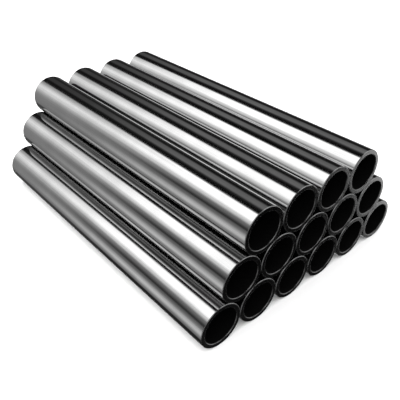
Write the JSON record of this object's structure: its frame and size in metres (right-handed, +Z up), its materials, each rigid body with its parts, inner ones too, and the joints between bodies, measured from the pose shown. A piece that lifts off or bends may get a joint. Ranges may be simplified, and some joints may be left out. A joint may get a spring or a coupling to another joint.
{
  "type": "stack of steel tubes",
  "caption": "Nested pyramid stack of thick-walled round steel tubes of one length, lying on the floor with flush cut ends, as raw stock.",
  "frame": {"origin": "on the floor, at the middle of the stack's footprint", "axes": "+Y along the tubes, +X across the rows, +Z up"},
  "size_m": [0.763, 1, 0.3473],
  "materials": {
    "bright_steel": "bright drawn and polished outside, saw-cut and deburred ends, dark bore"
  },
  "bodies": {
    "root": {"bottom_tube_1": "bright_steel", "bottom_tube_2": "bright_steel", "bottom_tube_3": "bright_steel", "bottom_tube_4": "bright_steel", "bottom_tube_5": "bright_steel", "bottom_tube_6": "bright_steel", "middle_tube_1": "bright_steel", "middle_tube_2": "bright_steel", "middle_tube_3": "bright_steel", "middle_tube_4": "bright_steel", "middle_tube_5": "bright_steel", "top_tube_1": "bright_steel", "top_tube_2": "bright_steel", "top_tube_3": "bright_steel", "top_tube_4": "bright_steel"}
  },
  "joints": []
}
